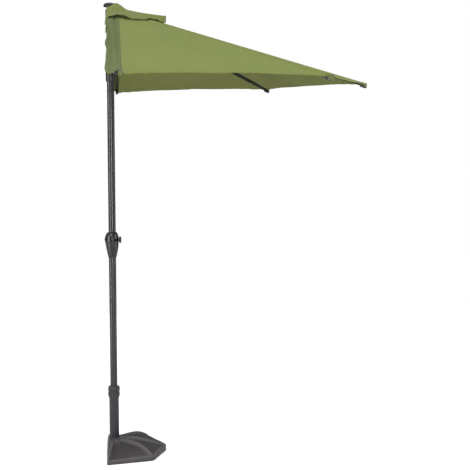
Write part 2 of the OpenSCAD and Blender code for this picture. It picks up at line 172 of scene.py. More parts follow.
def rounded(section, radius, steps=4):
    """The closed section with each corner rounded, by less where a side is short."""
    out = []
    count = len(section)
    for i, p in enumerate(section):
        here = Vector(p)
        back = Vector(section[i - 1]) - here
        ahead = Vector(section[(i + 1) % count]) - here
        reach = min(radius, back.length * 0.45, ahead.length * 0.45)
        start = here + back.normalized() * reach
        end = here + ahead.normalized() * reach
        for j in range(steps + 1):
            t = j / steps
            out.append(tuple(start * (1 - t) ** 2 + here * 2 * t * (1 - t) + end * t**2))
    return out


def turned(name, section, radius=0.0008, segments=128):
    return ring_solid(name, lathe_grid(rounded(section, radius), segments))


def closed_sheet(name, top, uv, hem, thick, turned_up=None):
    """Cloth from points on its upper side, thicker by turned_up: slot 0 is outside, slot 1 inside."""
    rows, columns = top.shape[:2]
    along = np.gradient(top, axis=0)
    across = np.gradient(top, axis=1)
    normal = np.cross(across, along)
    normal /= np.maximum(np.linalg.norm(normal, axis=2, keepdims=True), 1e-12)
    if normal[:, :, 2].mean() < 0:
        normal = -normal
    depth = np.full((rows, columns, 1), thick)
    if turned_up is not None:
        depth += turned_up[:, :, None]
    under = top - normal * depth
    count = rows * columns
    upper = grid_faces(rows, columns)
    a, b, d = upper[0][0], upper[0][1], upper[0][3]
    flat = top.reshape(-1, 3)
    facing = np.cross(flat[b] - flat[a], flat[d] - flat[a])
    if facing @ normal[0, 0] < 0:
        upper = [f[::-1] for f in upper]
    lower = [tuple(i + count for i in f[::-1]) for f in upper]
    border = list(range(columns))
    border += [i * columns + columns - 1 for i in range(1, rows)]
    border += [(rows - 1) * columns + j for j in range(columns - 2, -1, -1)]
    border += [i * columns for i in range(rows - 2, 0, -1)]
    edge_pairs = {(f[i], f[(i + 1) % 4]) for f in upper for i in range(4)}
    rim = []
    for i, p in enumerate(border):
        q = border[(i + 1) % len(border)]
        if (p, q) in edge_pairs:
            rim.append((q, p, p + count, q + count))
        else:
            rim.append((p, q, q + count, p + count))
    points = np.concatenate([flat, under.reshape(-1, 3)])
    slots = [0] * len(upper) + [1] * len(lower) + [0] * len(rim)
    uv = np.concatenate([uv.reshape(-1, 2)] * 2)
    hem = np.concatenate([hem.ravel()] * 2)
    return make_object(name, points, upper + lower + rim, 50, {"hem": hem}, uv, slots)


def refined(node, bevel=0.0006, segments=2, angle=32, sharp=42):
    """The CAD node's own shape with its edges rounded, in a new piece that replaces it."""
    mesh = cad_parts[node].data.copy()
    bm = bmesh.new()
    bm.from_mesh(mesh)
    bmesh.ops.remove_doubles(bm, verts=bm.verts, dist=2e-6)
    bmesh.ops.dissolve_limit(
        bm, angle_limit=math.radians(0.6), verts=bm.verts, edges=bm.edges, delimit={"NORMAL"}
    )
    bm.to_mesh(mesh)
    bm.free()
    mesh.materials.clear()
    obj = bpy.data.objects.new("fine_" + node, mesh)
    bpy.context.scene.collection.objects.link(obj)
    modifier = obj.modifiers.new("edges", "BEVEL")
    modifier.width = bevel
    modifier.segments = segments
    modifier.limit_method = "ANGLE"
    modifier.angle_limit = math.radians(angle)
    modifier.use_clamp_overlap = True
    depsgraph = bpy.context.evaluated_depsgraph_get()
    obj.data = bpy.data.meshes.new_from_object(obj.evaluated_get(depsgraph))
    obj.modifiers.clear()
    obj.data.name = obj.name
    obj.data.shade_smooth()
    obj.data.set_sharp_from_angle(angle=math.radians(sharp))
    return obj


def paint(obj, *materials):
    """Gives the piece these materials; faces keep their slot numbers."""
    slots = np.zeros(len(obj.data.polygons), np.int32)
    obj.data.polygons.foreach_get("material_index", slots)
    obj.data.materials.clear()
    for material in materials:
        obj.data.materials.append(material)
    obj.data.polygons.foreach_set("material_index", np.minimum(slots, len(materials) - 1))


def install(obj, body, nodes, slot, *materials):
    """Puts a piece on its body, in place of its CAD nodes, with its material."""
    paint(obj, *materials)
    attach(obj, body)
    if nodes:
        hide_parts(*nodes)
    return obj


# ---------- materials ----------

class Shader:
    """A Principled material with short calls for the nodes round it."""

    def __init__(self, name, **sockets):
        self.material = bpy.data.materials.new(name)
        self.material.use_nodes = True
        self.tree = self.material.node_tree
        self.tree.nodes.clear()
        out = self.tree.nodes.new("ShaderNodeOutputMaterial")
        self.bsdf = self.tree.nodes.new("ShaderNodeBsdfPrincipled")
        self.tree.links.new(self.bsdf.outputs["BSDF"], out.inputs["Surface"])
        for key, value in sockets.items():
            self.bsdf.inputs[key.replace("_", " ")].default_value = value

    def node(self, kind, links=None, **settings):
        made = self.tree.nodes.new(kind)
        for key, value in settings.items():
            setattr(made, key, value)
        for key, value in (links or {}).items():
            if isinstance(value, bpy.types.NodeSocket):
                self.tree.links.new(value, made.inputs[key])
            else:
                made.inputs[key].default_value = value
        return made

    def place(self):
        return self.node("ShaderNodeTexCoord").outputs["Object"]

    def cloth_place(self):
        return self.node("ShaderNodeUVMap", uv_map="cloth").outputs["UV"]

    def scaled(self, vector, scale):
        return self.node("ShaderNodeMapping", {"Vector": vector, "Scale": scale}).outputs[0]

    def attribute(self, name):
        return self.node("ShaderNodeAttribute", attribute_name=name).outputs["Fac"]

    def noise(self, vector, scale, detail=3.0, roughness=0.5):
        links = {"Vector": vector, "Scale": scale, "Detail": detail, "Roughness": roughness}
        return self.node("ShaderNodeTexNoise", links).outputs["Fac"]

    def cells(self, vector, scale):
        return self.node("ShaderNodeTexVoronoi", {"Vector": vector, "Scale": scale}).outputs["Distance"]

    def math(self, operation, a, b=0.0, clamp=False):
        return self.node("ShaderNodeMath", {0: a, 1: b}, operation=operation, use_clamp=clamp).outputs[0]

    def span(self, value, low, high, to_low=0.0, to_high=1.0):
        links = {"Value": value, "From Min": low, "From Max": high, "To Min": to_low, "To Max": to_high}
        return self.node("ShaderNodeMapRange", links).outputs["Result"]

    def mix(self, share, a, b):
        made = self.node("ShaderNodeMix", data_type="RGBA")
        for index, value in ((0, share), (6, a), (7, b)):
            if isinstance(value, bpy.types.NodeSocket):
                self.tree.links.new(value, made.inputs[index])
            else:
                made.inputs[index].default_value = value
        return made.outputs[2]

    def colour(self, value):
        self.tree.links.new(value, self.bsdf.inputs["Base Color"])

    def roughness(self, value):
        self.tree.links.new(value, self.bsdf.inputs["Roughness"])

    def bump(self, height, distance, strength=1.0, under=None):
        links = {"Height": height, "Distance": distance, "Strength": strength}
        if under is not None:
            links["Normal"] = under
        return self.node("ShaderNodeBump", links).outputs["Normal"]

    def normal(self, value):
        self.tree.links.new(value, self.bsdf.inputs["Normal"])


def srgb(r, g, b):
    """Linear RGBA from 8-bit display values."""
    linear = []
    for v in (r, g, b):
        c = v / 255
        linear.append(c / 12.92 if c <= 0.04045 else ((c + 0.055) / 1.055) ** 2.4)
    return (*linear, 1.0)


def powder_coat(name, dark, light, rough=0.36, grain=900.0):
    """Powder-coated steel: orange peel, a fine speckle and faint drawn lines along the length."""
    s = Shader(name, IOR=1.5)
    place = s.place()
    cloud = s.noise(place, 14.0, 4.0)
    lines = s.noise(s.scaled(place, (260.0, 260.0, 3.0)), 1.0, 2.0)
    speck = s.noise(place, 2600.0, 1.0)
    tone = s.math("ADD", s.math("MULTIPLY", cloud, 0.5), s.math("MULTIPLY", lines, 0.3))
    tone = s.math("ADD", tone, s.math("MULTIPLY", speck, 0.2), clamp=True)
    s.colour(s.mix(tone, dark, light))
    s.roughness(s.span(cloud, 0.3, 0.7, rough - 0.05, rough + 0.07))
    peel = s.bump(s.noise(place, grain, 2.0), 0.00003, 0.3)
    s.normal(s.bump(lines, 0.00002, 0.2, peel))
    return s.material


def moulded(name, dark, light, rough=0.45, grain=1400.0, depth=0.00012, worn=None, shaded_grooves=False):
    """Moulded plastic: a spark-eroded grain, faint flow marks, slightly rubbed patches and, when asked,
    painted shade that darkens the grooves.
    """
    s = Shader(name, IOR=1.46)
    place = s.place()
    flow = s.noise(s.scaled(place, (30.0, 30.0, 12.0)), 1.0, 5.0, 0.6)
    rub = s.noise(place, 55.0, 4.0, 0.65)
    base = s.mix(flow, dark, light)
    if worn is not None:
        base = s.mix(s.math("MULTIPLY", s.span(rub, 0.56, 0.75), 0.5), base, worn)
    # painted shade: grooves darkened nearly to black, read from a per-point attribute
    if shaded_grooves:
        base = s.mix(s.attribute("shaded_groove"), base, srgb(5, 5, 6))
    s.colour(base)
    s.roughness(s.span(rub, 0.3, 0.75, rough + 0.06, rough - 0.07))
    s.normal(s.bump(s.noise(place, grain, 3.0, 0.6), depth, 0.8))
    return s.material


def metal(name, dark, light, rough=0.35):
    """Bright plated or pressed metal with fine brushed lines."""
    s = Shader(name, Metallic=1.0)
    place = s.place()
    lines = s.noise(place, 900.0, 3.0)
    spots = s.noise(place, 220.0, 4.0, 0.6)
    s.colour(s.mix(spots, dark, light))
    s.roughness(s.span(lines, 0.2, 0.8, rough - 0.08, rough + 0.1))
    s.normal(s.bump(lines, 0.00004, 0.4))
    return s.material


def composite():
    """The base's stone-filled composite: smooth moulded ridges round rough, pitted panels, with a painted
    highlight, partly wear, lightening the crests and the rim.
    """
    s = Shader("base_composite", IOR=1.45)
    place = s.place()
    recess = s.attribute("recess")
    crest = s.attribute("crest")
    cloud = s.noise(place, 9.0, 5.0, 0.6)
    brown = s.noise(place, 5.0, 2.0)
    mottle = s.noise(place, 120.0, 6.0, 0.75)
    grit = s.noise(place, 620.0, 3.0, 0.7)
    pits = s.cells(place, 420.0)
    body = s.mix(s.span(brown, 0.4, 0.62), srgb(50, 48, 53), srgb(58, 53, 55))
    body = s.mix(s.math("MULTIPLY", s.span(cloud, 0.35, 0.7), 0.5), body, srgb(40, 38, 42))
    rough_tone = s.mix(s.span(mottle, 0.38, 0.66), srgb(19, 17, 21), srgb(48, 44, 48))
    body = s.mix(s.math("MULTIPLY", recess, 0.9), body, rough_tone)
    speck = s.math("MULTIPLY", s.span(grit, 0.62, 0.78), 0.45)
    body = s.mix(speck, body, srgb(78, 73, 74))
    # painted highlight, partly wear: ridge crests and the rim are lightened towards a pale grey
    wear_and_highlight = s.math("MULTIPLY", s.math("MULTIPLY", crest, s.span(mottle, 0.35, 0.6)), 0.75)
    s.colour(s.mix(wear_and_highlight, body, srgb(100, 97, 99)))
    s.roughness(s.math("ADD", s.span(mottle, 0.3, 0.7, 0.42, 0.58), s.math("MULTIPLY", recess, 0.18)))
    fine = s.bump(grit, 0.00035, 0.7)
    coarse = s.math("MULTIPLY", mottle, s.math("ADD", s.math("MULTIPLY", recess, 1.0), 0.12))
    lumps = s.bump(coarse, 0.0022, 0.8, fine)
    holes = s.math("MULTIPLY", s.span(pits, 0.0, 0.28), recess)
    s.normal(s.bump(holes, 0.0005, 0.6, lumps))
    return s.material


def woven(name, warm, cool, dark, stitch, sheen=0.04):
    """Plain-weave polyester: threads, uneven picks, a soft tone drift, stitch lines by the hem and painted
    shade in the groove beside them.
    """
    s = Shader(name, Roughness=0.82, IOR=1.4)
    s.bsdf.inputs["Specular IOR Level"].default_value = 0.3
    s.bsdf.inputs["Sheen Weight"].default_value = sheen
    s.bsdf.inputs["Sheen Roughness"].default_value = 0.5
    uv = s.cloth_place()
    place = s.place()
    parts = s.node("ShaderNodeSeparateXYZ", {0: uv})
    u, v = parts.outputs[0], parts.outputs[1]
    thread = 2 * math.pi / 0.0011
    warp = s.math("SINE", s.math("MULTIPLY", u, thread))
    weft = s.math("SINE", s.math("MULTIPLY", v, thread))
    weave = s.math("MULTIPLY", warp, weft)
    slub_u = s.noise(s.scaled(uv, (900.0, 26.0, 1.0)), 1.0, 2.0)
    slub_v = s.noise(s.scaled(uv, (26.0, 900.0, 1.0)), 1.0, 2.0)
    slubs = s.math("MULTIPLY", s.math("ADD", slub_u, slub_v), 0.5)
    drift = s.noise(place, 2.6, 3.0)
    base = s.mix(s.span(drift, 0.35, 0.65), warm, cool)
    base = s.mix(s.math("MULTIPLY", s.span(slubs, 0.38, 0.62), 0.35), base, dark)
    base = s.mix(s.math("MULTIPLY", s.span(weave, -1.0, 1.0), 0.12), base, dark)
    hem = s.attribute("hem")
    line = s.math("COMPARE", hem, 0.018)
    line.node.inputs[2].default_value = 0.0006
    dash = s.math("GREATER_THAN", s.math("FRACT", s.math("MULTIPLY", s.math("ADD", u, v), 260.0)), 0.35)
    sewn = s.math("MULTIPLY", line, dash)
    # painted shade: the groove along the stitch line is darkened as well as bumped
    shaded_groove = s.math("COMPARE", hem, 0.018)
    shaded_groove.node.inputs[2].default_value = 0.0022
    base = s.mix(s.math("MULTIPLY", shaded_groove, 0.6), base, dark)
    s.colour(s.mix(sewn, base, stitch))
    s.roughness(s.span(slubs, 0.3, 0.7, 0.78, 0.9))
    threads = s.bump(weave, 0.00022, 0.5)
    uneven = s.bump(slubs, 0.00045, 0.5, threads)
    crumple = s.bump(s.noise(place, 16.0, 4.0, 0.55), 0.0016, 0.5, uneven)
    s.normal(s.bump(shaded_groove, 0.0005, 0.7, crumple))
    return s.material


def ballast_fill():
    s = Shader("ballast_fill", Roughness=0.95)
    place = s.place()
    grain = s.noise(place, 380.0, 5.0, 0.7)
    s.colour(s.mix(s.span(grain, 0.35, 0.65), srgb(92, 88, 82), srgb(150, 145, 136)))
    s.normal(s.bump(grain, 0.0009, 0.9))
    return s.material


COAT = powder_coat("coated_tube", srgb(22, 22, 24), srgb(31, 31, 33), 0.24)
COAT_BASE = powder_coat("coated_stand", srgb(22, 22, 27), srgb(34, 34, 41), 0.33, 700.0)
COAT_RIB = powder_coat("coated_rib", srgb(26, 26, 26), srgb(38, 38, 38), 0.45)
BLACK = moulded("black_moulded", srgb(16, 16, 17), srgb(26, 26, 28), 0.32, worn=srgb(42, 42, 44))
GRIP = moulded("grip_moulded", srgb(34, 34, 36), srgb(50, 50, 53), 0.34, worn=srgb(74, 74, 77), shaded_grooves=True)
COVER = moulded("cover_moulded", srgb(20, 20, 21), srgb(30, 30, 32), 0.24, 1100.0, 0.00006, srgb(48, 48, 50))
SOFT = moulded("foot_rubber", srgb(24, 24, 24), srgb(38, 37, 36), 0.75, 700.0, 0.0002)
ZINC = metal("zinc_plate", srgb(150, 150, 148), srgb(196, 196, 192), 0.34)
NYLON = moulded("nylon_natural", srgb(186, 184, 172), srgb(206, 204, 192), 0.42)
STONE = composite()
FILL = ballast_fill()
CLOTH = woven("cloth_outer", srgb(114, 124, 60), srgb(107, 119, 54), srgb(93, 103, 44), srgb(130, 138, 84))
# painted shade: a darker, greyer copy of the outer cloth, for the flaps and the bands over the two wall ribs
FLAP_CLOTH_SHADED = woven("cloth_flap_shaded", srgb(90, 101, 54), srgb(84, 97, 50), srgb(72, 83, 40), srgb(110, 118, 72))
# painted shade: a darker copy of the same cloth, for the underside of every cloth piece
UNDERSIDE_SHADED = woven(
    "cloth_underside_shaded", srgb(103, 107, 52), srgb(96, 101, 48), srgb(83, 87, 38), srgb(118, 122, 72), 0.02
)
POCKET_CLOTH = woven(
    "cloth_pocket", srgb(98, 107, 62), srgb(90, 99, 56), srgb(76, 84, 42), srgb(120, 127, 84)
)
VENT_CLOTH = woven("cloth_vent", srgb(112, 120, 64), srgb(104, 113, 58), srgb(90, 98, 46), srgb(130, 136, 88))


# ---------- base ----------

def rounded_polygon(points, radii, steps=10):
    out = []
    for i, p in enumerate(points):
        here = Vector(p)
        back = (Vector(points[i - 1]) - here).normalized()
        ahead = (Vector(points[(i + 1) % len(points)]) - here).normalized()
        half = back.angle(ahead) / 2
        centre = here + (back + ahead).normalized() * (radii[i] / math.sin(half))
        start = here + back * (radii[i] / math.tan(half)) - centre
        end = here + ahead * (radii[i] / math.tan(half)) - centre
        for j in range(steps + 1):
            t = j / steps
            out.append(centre + (start * (1 - t) + end * t).normalized() * radii[i])
    return np.array(out)


def outline_reach(angle, outline):
    """Distance from the mast's axis to the outline at each angle."""
    fine_at, fine_far = [], []
    loop = outline[np.argsort(np.arctan2(outline[:, 1], outline[:, 0]))]
    for i in range(len(loop)):
        a, b = loop[i], loop[(i + 1) % len(loop)]
        for t in np.linspace(0, 1, 24, endpoint=False):
            p = a * (1 - t) + b * t
            fine_at.append(math.atan2(p[1], p[0]))
            fine_far.append(math.hypot(*p))
    fine = np.array(sorted(zip(fine_at, fine_far)))
    return np.interp(angle, fine[:, 0], fine[:, 1], period=2 * math.pi)


NOSE_LINE = [
    (0, 0.0855), (0.20, 0.0835), (0.33, 0.0810), (0.45, 0.0755),
    (0.60, 0.0655), (0.75, 0.0525), (0.87, 0.0410), (1, 0.0335),
]
SIDE_LINE = [
    (0, 0.0855), (0.30, 0.0850), (0.48, 0.0830), (0.68, 0.0725), (0.85, 0.0508), (0.94, 0.0342), (1, 0.0245),
]
WALL_LINE = [(0, 0.0855), (0.15, 0.0830), (0.40, 0.0690), (0.70, 0.0455), (0.90, 0.0285), (1, 0.0215)]
RECESS = 0.0155
RIM_ROUND = 0.005
WALL_ROUND = 0.0008
WALL_LEAN = 0.146           # how far the wall face leans in, per unit of height
RIM_LOW = 0.0015
PLATE_TOP = 0.007


def base_height(x, y, reach):
    """Height of the base's top, with how deep it lies in a panel and how near it is to a crest."""
    r = np.hypot(x, y)
    theta = np.arctan2(y, x)
    t = (r - TUBE_R) / np.maximum(reach - TUBE_R, 1e-6)
    wall_t = np.clip((np.abs(y) - TUBE_R) / (BASE_CORNERS[-1][1] - TUBE_R), 0, 1)
    behind = smooth((np.abs(theta) - WALL_CORNER + 0.05) / 0.1)
    t = t * (1 - behind) + wall_t * behind
    t = np.clip(t, 0, 1)
    to_side = smooth(np.abs(theta) / SIDE_CORNER)
    to_wall = smooth((np.abs(theta) - SIDE_CORNER) / (WALL_CORNER - SIDE_CORNER))
    height = soft_curve(NOSE_LINE, t) * (1 - to_side) + soft_curve(SIDE_LINE, t) * to_side
    height = height * (1 - to_wall) + soft_curve(WALL_LINE, t) * to_wall
    near_ridge = np.full_like(r, 1.0)
    for cx, cy in BASE_CORNERS:
        turn = theta - math.atan2(cy, cx)
        away = np.where(np.cos(turn) > 0, np.abs(r * np.sin(turn)), 1.0)
        near_ridge = np.minimum(near_ridge, away)
    near_rim = np.full_like(r, 1.0)
    for (ax, ay), (bx, by) in zip(BASE_CORNERS, BASE_CORNERS[1:]):
        side = np.array([bx - ax, by - ay])
        side /= np.linalg.norm(side)
        near_rim = np.minimum(near_rim, np.abs((x - ax) * side[1] - (y - ay) * side[0]))
    panel = smooth((near_ridge - 0.0050) / 0.011) * smooth((near_rim - 0.009) / 0.013)
    panel *= smooth((r - 0.044) / 0.03) * (1 - behind)
    height = height - RECESS * panel * (1 - 0.68 * smooth((t - 0.5) / 0.38))
    boss = smooth((PLUG_SEAT_R - np.hypot(x - PLUG_AT[0], y - PLUG_AT[1])) / 0.006)
    height = height * (1 - boss) + PLUG_SEAT_Z * boss
    # crest is the painted highlight mask, partly wear: full on the ridges, 0.4 on the rim
    crest = np.exp(-((near_ridge / 0.0048) ** 2)) * smooth((r - 0.05) / 0.04) * (1 - behind)
    crest = np.maximum(crest, np.exp(-((near_rim / 0.005) ** 2)) * 0.4)
    return height, panel * (1 - boss), crest


def make_base_shell():
    outline = rounded_polygon(BASE_CORNERS, [0.010, 0.022, 0.026, 0.022, 0.010])
    angle = np.concatenate([
        np.linspace(-math.pi, math.pi, 360, endpoint=False),
        np.arctan2(outline[:, 1], outline[:, 0]),
        [math.atan2(y, x) + d for x, y in BASE_CORNERS for d in (-0.02, 0.0, 0.02)],
    ])
    angle = np.unique(np.round(angle, 3))
    reach = outline_reach(angle, outline)
    cos, sin = np.cos(angle), np.sin(angle)
    rows, recess, crest = [], [], []
    top_share = np.linspace(0, 1, 76) ** 0.92
    behind = smooth((np.abs(angle) - WALL_CORNER + 0.03) / 0.06)
    foot = reach
    rim_guess = base_height(reach * cos, reach * sin, reach)[0]
    reach = foot * (1 - behind * WALL_LEAN * rim_guess / abs(BASE_CORNERS[0][0]))
    rounding = RIM_ROUND * (1 - behind) + WALL_ROUND * behind
    edge_r = reach - rounding
    for share in top_share:
        r = TUBE_R + (edge_r - TUBE_R) * share
        z, panel, ridge = base_height(r * cos, r * sin, reach)
        rows.append(np.stack([r * cos, r * sin, z], 1))
        recess.append(panel)
        crest.append(ridge)
    rim_z = rows[-1][:, 2]
    for turn in (22.5, 45, 67.5, 90):
        a = math.radians(turn)
        r = edge_r + rounding * math.sin(a)
        rows.append(np.stack([r * cos, r * sin, rim_z - rounding * (1 - math.cos(a))], 1))
        recess.append(np.zeros_like(r))
        # painted highlight on the rim's rounding, fading round the turn
        crest.append(np.full_like(r, 0.4 * math.cos(a)))
    for low in (0.35, 0.7, 1.0):
        z = (rim_z - rounding) * (1 - low) + (RIM_LOW + 0.001) * low
        r = reach * (1 - low) + foot * low
        rows.append(np.stack([r * cos, r * sin, z], 1))
    inner = [(foot - 0.001, RIM_LOW), (foot - 0.004, RIM_LOW), (foot - 0.004, PLATE_TOP)]
    inner.append((np.full_like(reach, TUBE_R), PLATE_TOP))
    for r, z in inner:
        rows.append(np.stack([r * cos, r * sin, np.full_like(reach, z)], 1))
    while len(recess) < len(rows):
        recess.append(np.zeros_like(reach))
        crest.append(np.zeros_like(reach))
    values = {"recess": np.array(recess), "crest": np.array(crest)}
    top = ring_solid("base_top", np.array(rows), 55, values)
    install(top, "base", ["base_shell"], "base_composite", STONE)


def make_stand():
    tube = [
        (TUBE_R, 0.011), (TUBE_R, 0.303), (0.028, 0.303), (0.028, 0.307), (TUBE_R, 0.307), (TUBE_R, 0.352),
        (0.0235, 0.352), (0.0235, 0.011),
    ]
    install(turned("stand_upright", tube, 0.0006), "base", ["stand_tube"], "coated_steel", COAT_BASE)
    socket = [
        (TUBE_R + 0.0002, 0.078), (0.0292, 0.078), (0.0288, 0.0868),
        (0.0272, 0.0882), (TUBE_R + 0.0002, 0.0882),
    ]
    install(turned("socket_ring", socket, 0.0010), "base", [], "base_composite", BLACK)
    bush = [
        (0.0235, 0.318), (0.0235, 0.3518), (0.0252, 0.352),
        (0.0252, 0.357), (0.0191, 0.357), (0.0191, 0.318),
    ]
    install(turned("bush_ring", bush, 0.0006), "bush", ["pole_bush"], "cover_plastic", BLACK)


FLUTES = 14
FLUTE_DEPTH = 0.0046


def make_collar():
    outer = [(0.0286, 0.3077), (0.0291, 0.3115), (0.0306, 0.3130), (0.0316, 0.3155), (0.0317, 0.3220),
             (0.0317, 0.3290), (0.0314, 0.3330), (0.0303, 0.3352), (0.0286, 0.3366), (0.0284, 0.3380),
             (0.0303, 0.3394), (0.0314, 0.3416), (0.0317, 0.3455), (0.0317, 0.3530), (0.0316, 0.3590),
             (0.0306, 0.3625), (0.0288, 0.3643), (0.0262, 0.3658), (0.0225, 0.3668), (0.0203, 0.3670)]
    inside = [(0.0203, 0.3560), (0.0261, 0.3540), (0.0261, 0.3077)]
    line = np.array(outer)
    steps = np.linspace(0, len(outer) - 1, 70)
    line = np.stack([np.interp(steps, range(len(outer)), line[:, i]) for i in (0, 1)], 1)
    section = np.concatenate([line, np.array(inside)])
    segments = FLUTES * 14
    angle = np.linspace(0, 2 * math.pi, segments, endpoint=False)
    lobe = np.abs(np.cos(angle * FLUTES / 2)) ** 0.42
    band = smooth((section[:, 1] - 0.3115) / 0.003) * smooth((0.3362 - section[:, 1]) / 0.003)
    band = band + smooth((section[:, 1] - 0.3384) / 0.003) * smooth((0.3635 - section[:, 1]) / 0.003)
    band[len(line):] = 0
    cut = FLUTE_DEPTH * band[:, None] * (1 - lobe)[None, :]
    grid = lathe_grid(section, segments)
    radius = section[:, :1] - cut
    grid[:, :, 0] = radius * np.cos(angle)
    grid[:, :, 1] = radius * np.sin(angle)
    # painted shade: the cavities between the lumps and the gap between the two rows are darkened nearly to
    # black
    between = np.exp(-(((section[:, 1:] - 0.3372) / 0.0018) ** 2))
    shaded_groove = np.clip(band[:, None] * (1 - lobe)[None, :] * 1.5 + between, 0, 1)
    grip = ring_solid("collar_grip", grid, 60, {"shaded_groove": shaded_groove})
    install(grip, "collar", ["clamp_collar"], "black_plastic", GRIP)


# ---------- mast ----------

def make_poles():
    poles = (("lower_mast", "lower_pole", 0.040, 1.128), ("upper_mast", "upper_pole", 1.184, 2.358))
    for name, node, low, high in poles:
        rows = [(POLE_R - 0.0012, low), (POLE_R - 0.0004, low)]
        rows += [(POLE_R, min(max(z, low + 0.0006), high - 0.0006)) for z in np.linspace(low, high, 40)]
        rows += [(POLE_R - 0.0004, high), (POLE_R - 0.0012, high)]
        install(ring_solid(name, lathe_grid(rows, 96)), "mast", [node], "coated_steel", COAT)


HOUSING_LINE = [(-0.095, 0.0192), (-0.094, 0.0212), (-0.090, 0.0222), (-0.082, 0.0240), (-0.066, 0.0275),
                (-0.049, 0.0310), (-0.033, 0.0338), (-0.017, 0.0362), (0.0, 0.0383), (0.010, 0.0380),
                (0.020, 0.0360), (0.030, 0.0322), (0.037, 0.0280), (0.0405, 0.0238), (0.042, 0.0195)]
HOUSING_LIP = 0.0006
HOUSING_WALL = 0.0024


def make_housing(side, name, node):
    """One half of the crank's cover; side is -1 for the front, 1 for the rear."""
    rows, columns = 120, 110
    z = np.linspace(-0.095, 0.042, rows)
    z = np.sort(np.concatenate([z, [-0.0945, -0.0935, 0.0412, 0.0417]]))
    turn = np.linspace(0.0, math.pi, columns)
    turn = turn if side > 0 else turn + math.pi
    zz, aa = np.meshgrid(z, turn, indexing="ij")
    radius = soft_curve(HOUSING_LINE, zz)
    x_share, y_share = np.cos(aa), np.sin(aa)
    # flatter towards the crank, with a round bulge opposite it
    flat = np.clip(x_share, 0, 1) ** 2 * np.exp(-((zz / 0.030) ** 2))
    bulge = np.clip(-x_share, 0, 1) ** 6 * np.exp(-(((zz - 0.001) / 0.013) ** 2))
    radius = radius - 0.0042 * flat + 0.0018 * bulge
    # raised middle panel, tapering to the lower end
    half = 0.46 - 0.10 * smooth(-zz / 0.09)
    off = np.abs((aa if side > 0 else aa - math.pi) - math.pi / 2)
    pad = smooth((half - off) / 0.10) * smooth((zz + 0.086) / 0.012) * smooth((0.036 - zz) / 0.010)
    radius = radius + 0.0012 * pad
    px, pz = radius * x_share, zz
    boss = np.hypot(px - 0.004, pz - 0.008)
    radius = radius + 0.0013 * smooth((0.0078 - boss) / 0.0022) - 0.0026 * smooth((0.0042 - boss) / 0.0012)
    grid = np.stack([radius * x_share, radius * y_share, zz + CRANK_Z], 2)
    grid[:, :, 1] += side * 0.0002
    for edge in (0, -1):
        grid[:, edge, 0] -= HOUSING_LIP * np.sign(grid[:, edge, 0])
    inner_r = np.maximum(radius - HOUSING_WALL, POLE_R + 0.0001)
    inner = np.stack([inner_r * x_share, inner_r * y_share + side * 0.0002, zz + CRANK_Z], 2)
    loop = np.concatenate([grid, inner[:, ::-1]], axis=1)
    count = loop.shape[1]
    faces = grid_faces(len(z), count, wrap_columns=True)
    for row in (0, len(z) - 1):
        for j in range(columns - 1):
            a, b = row * count + j, row * count + j + 1
            c, d = row * count + count - 2 - j, row * count + count - 1 - j
            faces.append((a, d, c, b) if row == 0 else (a, b, c, d))
    points = loop.reshape(-1, 3)
    obj = make_object(name, points, faces, 48)
    tidy_normals(obj)
    install(obj, "mast", [node], "black_plastic", COVER)


def tidy_normals(obj, merge=0.0):
    """Turns the faces outwards, after joining points closer than merge."""
    bm = bmesh.new()
    bm.from_mesh(obj.data)
    if merge:
        bmesh.ops.remove_doubles(bm, verts=bm.verts, dist=merge)
    bmesh.ops.recalc_face_normals(bm, faces=bm.faces)
    bm.to_mesh(obj.data)
    bm.free()


def make_crank():
    for side, name, node in ((-1, "cover_front", "housing_front"), (1, "cover_rear", "housing_rear")):
        make_housing(side, name, node)
    to_shaft = Matrix.Translation((0, 0, CRANK_Z)) @ Matrix.Rotation(math.radians(90), 4, "Y")
    ring = [(0.0085, 0.0300), (0.0085, 0.0343), (0.0042, 0.0343), (0.0042, 0.0300)]
    collar = turned("crank_collar", ring, 0.0006, 64)
    collar.data.transform(to_shaft)
    install(collar, "mast", [], "black_plastic", BLACK)
    boss = [
        (0.0043, 0.0352), (0.0140, 0.0352), (0.0156, 0.0362), (0.0164, 0.0384), (0.0167, 0.0412),
        (0.0166, 0.0440), (0.0160, 0.0462), (0.0147, 0.0474), (0.0118, 0.0480), (0.0043, 0.0480),
    ]
    hub = turned("crank_boss", boss, 0.0008, 96)
    hub.data.transform(to_shaft)
    install(hub, "crank", [], "black_plastic", COVER)
    install(refined("crank_arm", 0.0014, 3), "crank", ["crank_arm"], "black_plastic", BLACK)
    install(refined("crank_knob", 0.0008, 2), "knob", ["crank_knob"], "black_plastic", BLACK)


def make_top():
    install(refined("top_hub", 0.0007), "mast", ["top_hub"], "black_plastic", BLACK)
    install(refined("runner", 0.0009), "runner", ["runner"], "black_plastic", BLACK)
    line = [
        (0.0, 0.001), (0.0290, 0.001), (0.0290, -0.007), (0.0320, -0.007), (0.0322, 0.003),
        (0.0300, 0.0072), (0.0250, 0.0105), (0.0170, 0.0132), (0.0080, 0.0147), (0.0, 0.015),
    ]
    section = [(r, CAP_Z + rise) for r, rise in line]
    grid = lathe_grid(section, 96)
    faces = grid_faces(len(section), 96, wrap_columns=True)
    cap = make_object("finial_dome", grid.reshape(-1, 3), faces, 50)
    tidy_normals(cap, 1e-6)
    install(cap, "mast", ["finial_cap"], "black_plastic", BLACK)


def make_ribs():
    for k in range(1, RIB_COUNT + 1):
        rib, tip, arm = f"rib_{k}", f"rib_tip_{k}", f"stretcher_{k}"
        install(refined(rib, 0.0004, 1), rib, [rib], "rib_steel", COAT_RIB)
        install(refined(tip, 0.0026, 3), rib, [tip], "black_plastic", BLACK)
        install(refined(arm, 0.0005, 1), arm, [arm], "rib_steel", COAT_RIB)


# ---------- canopy ----------

def over_rib(k, r):
    a = rib_angle(k)
    r = np.asarray(r, float)
    z = HUB_Z + CLOTH_TOP - (r - PIVOT_R) * math.tan(RIB_SLOPE)
    return np.stack([FAN_X + r * math.cos(a), r * math.sin(a), z], -1)


